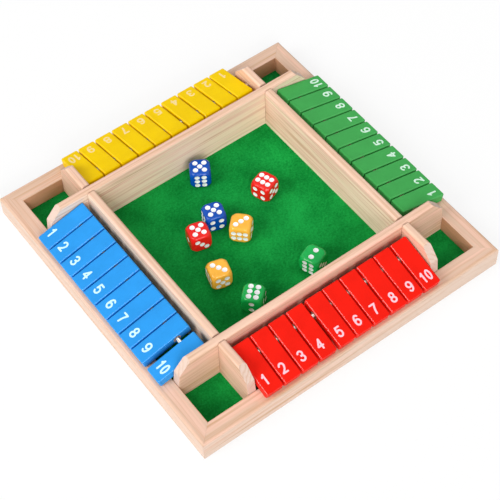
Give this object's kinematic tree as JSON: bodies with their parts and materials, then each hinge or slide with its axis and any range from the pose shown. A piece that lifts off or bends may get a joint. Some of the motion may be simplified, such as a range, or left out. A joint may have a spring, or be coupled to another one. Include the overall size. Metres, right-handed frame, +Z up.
{
  "type": "wooden board game",
  "caption": "Square wooden dice game: rows of painted number tiles turn over on steel rods round a felt-lined dice tray with open corner pockets.",
  "frame": {"origin": "middle of the underside of the frame and base board", "axes": "+Z up out of the tray; the red row lies at -Y, green at +X, yellow at +Y and blue at -X"},
  "size_m": [0.28, 0.28, 0.043],
  "materials": {
    "pine": "satin",
    "plywood": "matte",
    "felt": "matte",
    "steel": "satin",
    "red_paint": "satin painted",
    "green_paint": "satin painted",
    "yellow_paint": "satin painted",
    "blue_paint": "satin painted",
    "die_red": "gloss",
    "die_green": "gloss",
    "die_yellow": "gloss",
    "die_blue": "gloss"
  },
  "bodies": {
    "tray": {"frame_rail_front": "pine", "frame_rail_right": "pine", "frame_rail_back": "pine", "frame_rail_left": "pine", "base_board": "plywood", "felt_lining": "felt", "divider_front": "pine", "divider_back": "pine", "rod_red": "steel", "rod_green": "steel", "rod_yellow": "steel", "rod_blue": "steel"},
    "tile_red_1": {"tile_red_1": "red_paint"},
    "tile_red_2": {"tile_red_2": "red_paint"},
    "tile_red_3": {"tile_red_3": "red_paint"},
    "tile_red_4": {"tile_red_4": "red_paint"},
    "tile_red_5": {"tile_red_5": "red_paint"},
    "tile_red_6": {"tile_red_6": "red_paint"},
    "tile_red_7": {"tile_red_7": "red_paint"},
    "tile_red_8": {"tile_red_8": "red_paint"},
    "tile_red_9": {"tile_red_9": "red_paint"},
    "tile_red_10": {"tile_red_10": "red_paint"},
    "tile_green_1": {"tile_green_1": "green_paint"},
    "tile_green_2": {"tile_green_2": "green_paint"},
    "tile_green_3": {"tile_green_3": "green_paint"},
    "tile_green_4": {"tile_green_4": "green_paint"},
    "tile_green_5": {"tile_green_5": "green_paint"},
    "tile_green_6": {"tile_green_6": "green_paint"},
    "tile_green_7": {"tile_green_7": "green_paint"},
    "tile_green_8": {"tile_green_8": "green_paint"},
    "tile_green_9": {"tile_green_9": "green_paint"},
    "tile_green_10": {"tile_green_10": "green_paint"},
    "tile_yellow_1": {"tile_yellow_1": "yellow_paint"},
    "tile_yellow_2": {"tile_yellow_2": "yellow_paint"},
    "tile_yellow_3": {"tile_yellow_3": "yellow_paint"},
    "tile_yellow_4": {"tile_yellow_4": "yellow_paint"},
    "tile_yellow_5": {"tile_yellow_5": "yellow_paint"},
    "tile_yellow_6": {"tile_yellow_6": "yellow_paint"},
    "tile_yellow_7": {"tile_yellow_7": "yellow_paint"},
    "tile_yellow_8": {"tile_yellow_8": "yellow_paint"},
    "tile_yellow_9": {"tile_yellow_9": "yellow_paint"},
    "tile_yellow_10": {"tile_yellow_10": "yellow_paint"},
    "tile_blue_1": {"tile_blue_1": "blue_paint"},
    "tile_blue_2": {"tile_blue_2": "blue_paint"},
    "tile_blue_3": {"tile_blue_3": "blue_paint"},
    "tile_blue_4": {"tile_blue_4": "blue_paint"},
    "tile_blue_5": {"tile_blue_5": "blue_paint"},
    "tile_blue_6": {"tile_blue_6": "blue_paint"},
    "tile_blue_7": {"tile_blue_7": "blue_paint"},
    "tile_blue_8": {"tile_blue_8": "blue_paint"},
    "tile_blue_9": {"tile_blue_9": "blue_paint"},
    "tile_blue_10": {"tile_blue_10": "blue_paint"},
    "die_blue_1": {"die_blue_1": "die_blue"},
    "die_blue_2": {"die_blue_2": "die_blue"},
    "die_red_1": {"die_red_1": "die_red"},
    "die_red_2": {"die_red_2": "die_red"},
    "die_yellow_1": {"die_yellow_1": "die_yellow"},
    "die_yellow_2": {"die_yellow_2": "die_yellow"},
    "die_green_1": {"die_green_1": "die_green"},
    "die_green_2": {"die_green_2": "die_green"}
  },
  "joints": [
    {"name": "flip_red_1", "type": "hinge", "parent": "tray", "child": "tile_red_1", "pos_m": [0, -0.1067, 0.0306], "axis": [-1, 0, 0], "range_deg": [0, 148]},
    {"name": "flip_red_2", "type": "hinge", "parent": "tray", "child": "tile_red_2", "pos_m": [0, -0.1067, 0.0306], "axis": [-1, 0, 0], "range_deg": [0, 148]},
    {"name": "flip_red_3", "type": "hinge", "parent": "tray", "child": "tile_red_3", "pos_m": [0, -0.1067, 0.0306], "axis": [-1, 0, 0], "range_deg": [0, 148]},
    {"name": "flip_red_4", "type": "hinge", "parent": "tray", "child": "tile_red_4", "pos_m": [0, -0.1067, 0.0306], "axis": [-1, 0, 0], "range_deg": [0, 148]},
    {"name": "flip_red_5", "type": "hinge", "parent": "tray", "child": "tile_red_5", "pos_m": [0, -0.1067, 0.0306], "axis": [-1, 0, 0], "range_deg": [0, 148]},
    {"name": "flip_red_6", "type": "hinge", "parent": "tray", "child": "tile_red_6", "pos_m": [0, -0.1067, 0.0306], "axis": [-1, 0, 0], "range_deg": [0, 148]},
    {"name": "flip_red_7", "type": "hinge", "parent": "tray", "child": "tile_red_7", "pos_m": [0, -0.1067, 0.0306], "axis": [-1, 0, 0], "range_deg": [0, 148]},
    {"name": "flip_red_8", "type": "hinge", "parent": "tray", "child": "tile_red_8", "pos_m": [0, -0.1067, 0.0306], "axis": [-1, 0, 0], "range_deg": [0, 148]},
    {"name": "flip_red_9", "type": "hinge", "parent": "tray", "child": "tile_red_9", "pos_m": [0, -0.1067, 0.0306], "axis": [-1, 0, 0], "range_deg": [0, 148]},
    {"name": "flip_red_10", "type": "hinge", "parent": "tray", "child": "tile_red_10", "pos_m": [0, -0.1067, 0.0306], "axis": [-1, 0, 0], "range_deg": [0, 148]},
    {"name": "flip_green_1", "type": "hinge", "parent": "tray", "child": "tile_green_1", "pos_m": [0.1067, 0, 0.0306], "axis": [0, -1, 0], "range_deg": [0, 148]},
    {"name": "flip_green_2", "type": "hinge", "parent": "tray", "child": "tile_green_2", "pos_m": [0.1067, 0, 0.0306], "axis": [0, -1, 0], "range_deg": [0, 148]},
    {"name": "flip_green_3", "type": "hinge", "parent": "tray", "child": "tile_green_3", "pos_m": [0.1067, 0, 0.0306], "axis": [0, -1, 0], "range_deg": [0, 148]},
    {"name": "flip_green_4", "type": "hinge", "parent": "tray", "child": "tile_green_4", "pos_m": [0.1067, 0, 0.0306], "axis": [0, -1, 0], "range_deg": [0, 148]},
    {"name": "flip_green_5", "type": "hinge", "parent": "tray", "child": "tile_green_5", "pos_m": [0.1067, 0, 0.0306], "axis": [0, -1, 0], "range_deg": [0, 148]},
    {"name": "flip_green_6", "type": "hinge", "parent": "tray", "child": "tile_green_6", "pos_m": [0.1067, 0, 0.0306], "axis": [0, -1, 0], "range_deg": [0, 148]},
    {"name": "flip_green_7", "type": "hinge", "parent": "tray", "child": "tile_green_7", "pos_m": [0.1067, 0, 0.0306], "axis": [0, -1, 0], "range_deg": [0, 148]},
    {"name": "flip_green_8", "type": "hinge", "parent": "tray", "child": "tile_green_8", "pos_m": [0.1067, 0, 0.0306], "axis": [0, -1, 0], "range_deg": [0, 148]},
    {"name": "flip_green_9", "type": "hinge", "parent": "tray", "child": "tile_green_9", "pos_m": [0.1067, 0, 0.0306], "axis": [0, -1, 0], "range_deg": [0, 148]},
    {"name": "flip_green_10", "type": "hinge", "parent": "tray", "child": "tile_green_10", "pos_m": [0.1067, 0, 0.0306], "axis": [0, -1, 0], "range_deg": [0, 148]},
    {"name": "flip_yellow_1", "type": "hinge", "parent": "tray", "child": "tile_yellow_1", "pos_m": [0, 0.1067, 0.0306], "axis": [1, 0, 0], "range_deg": [0, 148]},
    {"name": "flip_yellow_2", "type": "hinge", "parent": "tray", "child": "tile_yellow_2", "pos_m": [0, 0.1067, 0.0306], "axis": [1, 0, 0], "range_deg": [0, 148]},
    {"name": "flip_yellow_3", "type": "hinge", "parent": "tray", "child": "tile_yellow_3", "pos_m": [0, 0.1067, 0.0306], "axis": [1, 0, 0], "range_deg": [0, 148]},
    {"name": "flip_yellow_4", "type": "hinge", "parent": "tray", "child": "tile_yellow_4", "pos_m": [0, 0.1067, 0.0306], "axis": [1, 0, 0], "range_deg": [0, 148]},
    {"name": "flip_yellow_5", "type": "hinge", "parent": "tray", "child": "tile_yellow_5", "pos_m": [0, 0.1067, 0.0306], "axis": [1, 0, 0], "range_deg": [0, 148]},
    {"name": "flip_yellow_6", "type": "hinge", "parent": "tray", "child": "tile_yellow_6", "pos_m": [0, 0.1067, 0.0306], "axis": [1, 0, 0], "range_deg": [0, 148]},
    {"name": "flip_yellow_7", "type": "hinge", "parent": "tray", "child": "tile_yellow_7", "pos_m": [0, 0.1067, 0.0306], "axis": [1, 0, 0], "range_deg": [0, 148]},
    {"name": "flip_yellow_8", "type": "hinge", "parent": "tray", "child": "tile_yellow_8", "pos_m": [0, 0.1067, 0.0306], "axis": [1, 0, 0], "range_deg": [0, 148]},
    {"name": "flip_yellow_9", "type": "hinge", "parent": "tray", "child": "tile_yellow_9", "pos_m": [0, 0.1067, 0.0306], "axis": [1, 0, 0], "range_deg": [0, 148]},
    {"name": "flip_yellow_10", "type": "hinge", "parent": "tray", "child": "tile_yellow_10", "pos_m": [0, 0.1067, 0.0306], "axis": [1, 0, 0], "range_deg": [0, 148]},
    {"name": "flip_blue_1", "type": "hinge", "parent": "tray", "child": "tile_blue_1", "pos_m": [-0.1067, 0, 0.0306], "axis": [0, 1, 0], "range_deg": [0, 148]},
    {"name": "flip_blue_2", "type": "hinge", "parent": "tray", "child": "tile_blue_2", "pos_m": [-0.1067, 0, 0.0306], "axis": [0, 1, 0], "range_deg": [0, 148]},
    {"name": "flip_blue_3", "type": "hinge", "parent": "tray", "child": "tile_blue_3", "pos_m": [-0.1067, 0, 0.0306], "axis": [0, 1, 0], "range_deg": [0, 148]},
    {"name": "flip_blue_4", "type": "hinge", "parent": "tray", "child": "tile_blue_4", "pos_m": [-0.1067, 0, 0.0306], "axis": [0, 1, 0], "range_deg": [0, 148]},
    {"name": "flip_blue_5", "type": "hinge", "parent": "tray", "child": "tile_blue_5", "pos_m": [-0.1067, 0, 0.0306], "axis": [0, 1, 0], "range_deg": [0, 148]},
    {"name": "flip_blue_6", "type": "hinge", "parent": "tray", "child": "tile_blue_6", "pos_m": [-0.1067, 0, 0.0306], "axis": [0, 1, 0], "range_deg": [0, 148]},
    {"name": "flip_blue_7", "type": "hinge", "parent": "tray", "child": "tile_blue_7", "pos_m": [-0.1067, 0, 0.0306], "axis": [0, 1, 0], "range_deg": [0, 148]},
    {"name": "flip_blue_8", "type": "hinge", "parent": "tray", "child": "tile_blue_8", "pos_m": [-0.1067, 0, 0.0306], "axis": [0, 1, 0], "range_deg": [0, 148]},
    {"name": "flip_blue_9", "type": "hinge", "parent": "tray", "child": "tile_blue_9", "pos_m": [-0.1067, 0, 0.0306], "axis": [0, 1, 0], "range_deg": [0, 148]},
    {"name": "flip_blue_10", "type": "hinge", "parent": "tray", "child": "tile_blue_10", "pos_m": [-0.1067, 0, 0.0306], "axis": [0, 1, 0], "range_deg": [0, 148]},
    {"name": "lift_die_blue_1", "type": "slide", "parent": "tray", "child": "die_blue_1", "axis": [0, 0, 1], "range_m": [0, 0.06]},
    {"name": "lift_die_blue_2", "type": "slide", "parent": "tray", "child": "die_blue_2", "axis": [0, 0, 1], "range_m": [0, 0.06]},
    {"name": "lift_die_red_1", "type": "slide", "parent": "tray", "child": "die_red_1", "axis": [0, 0, 1], "range_m": [0, 0.06]},
    {"name": "lift_die_red_2", "type": "slide", "parent": "tray", "child": "die_red_2", "axis": [0, 0, 1], "range_m": [0, 0.06]},
    {"name": "lift_die_yellow_1", "type": "slide", "parent": "tray", "child": "die_yellow_1", "axis": [0, 0, 1], "range_m": [0, 0.06]},
    {"name": "lift_die_yellow_2", "type": "slide", "parent": "tray", "child": "die_yellow_2", "axis": [0, 0, 1], "range_m": [0, 0.06]},
    {"name": "lift_die_green_1", "type": "slide", "parent": "tray", "child": "die_green_1", "axis": [0, 0, 1], "range_m": [0, 0.06]},
    {"name": "lift_die_green_2", "type": "slide", "parent": "tray", "child": "die_green_2", "axis": [0, 0, 1], "range_m": [0, 0.06]}
  ]
}
